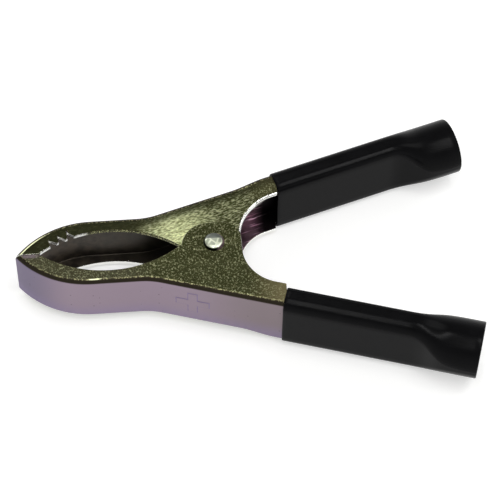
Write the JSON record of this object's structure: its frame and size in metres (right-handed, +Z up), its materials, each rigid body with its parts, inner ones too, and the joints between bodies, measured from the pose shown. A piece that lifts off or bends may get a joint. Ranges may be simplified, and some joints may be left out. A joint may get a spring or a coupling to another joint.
{
  "type": "crocodile clip",
  "caption": "Spring-loaded crocodile clip: toothed channel jaws of plated sheet steel on a riveted pivot, with black soft plastic sleeves on the handles.",
  "frame": {"origin": "centre of the clip's box on the surface that the clip lies on", "axes": "+X from the jaw tip to the handle ends, +Y towards the upper arm, +Z up along the pivot"},
  "size_m": [0.1014, 0.0662, 0.0169],
  "materials": {
    "plated_steel": "plated, faintly yellow passivation, fine rolled grain",
    "rivet_steel": "bright, peened",
    "spring_steel": "drawn wire, plated",
    "black_pvc": "satin soft PVC"
  },
  "bodies": {
    "lower_half": {"lower_arm": "plated_steel", "lower_sleeve": "black_pvc", "pivot_rivet": "rivet_steel", "torsion_spring": "spring_steel"},
    "upper_half": {"upper_arm": "plated_steel", "upper_sleeve": "black_pvc"}
  },
  "joints": [
    {"name": "jaw_hinge", "type": "hinge", "parent": "lower_half", "child": "upper_half", "pos_m": [-0.00729, 0, 0.00845], "axis": [0, 0, -1], "range_deg": [0, 30], "stiffness_Nm_per_rad": 2, "springref_deg": -5.73, "deforming": ["torsion_spring"]}
  ]
}
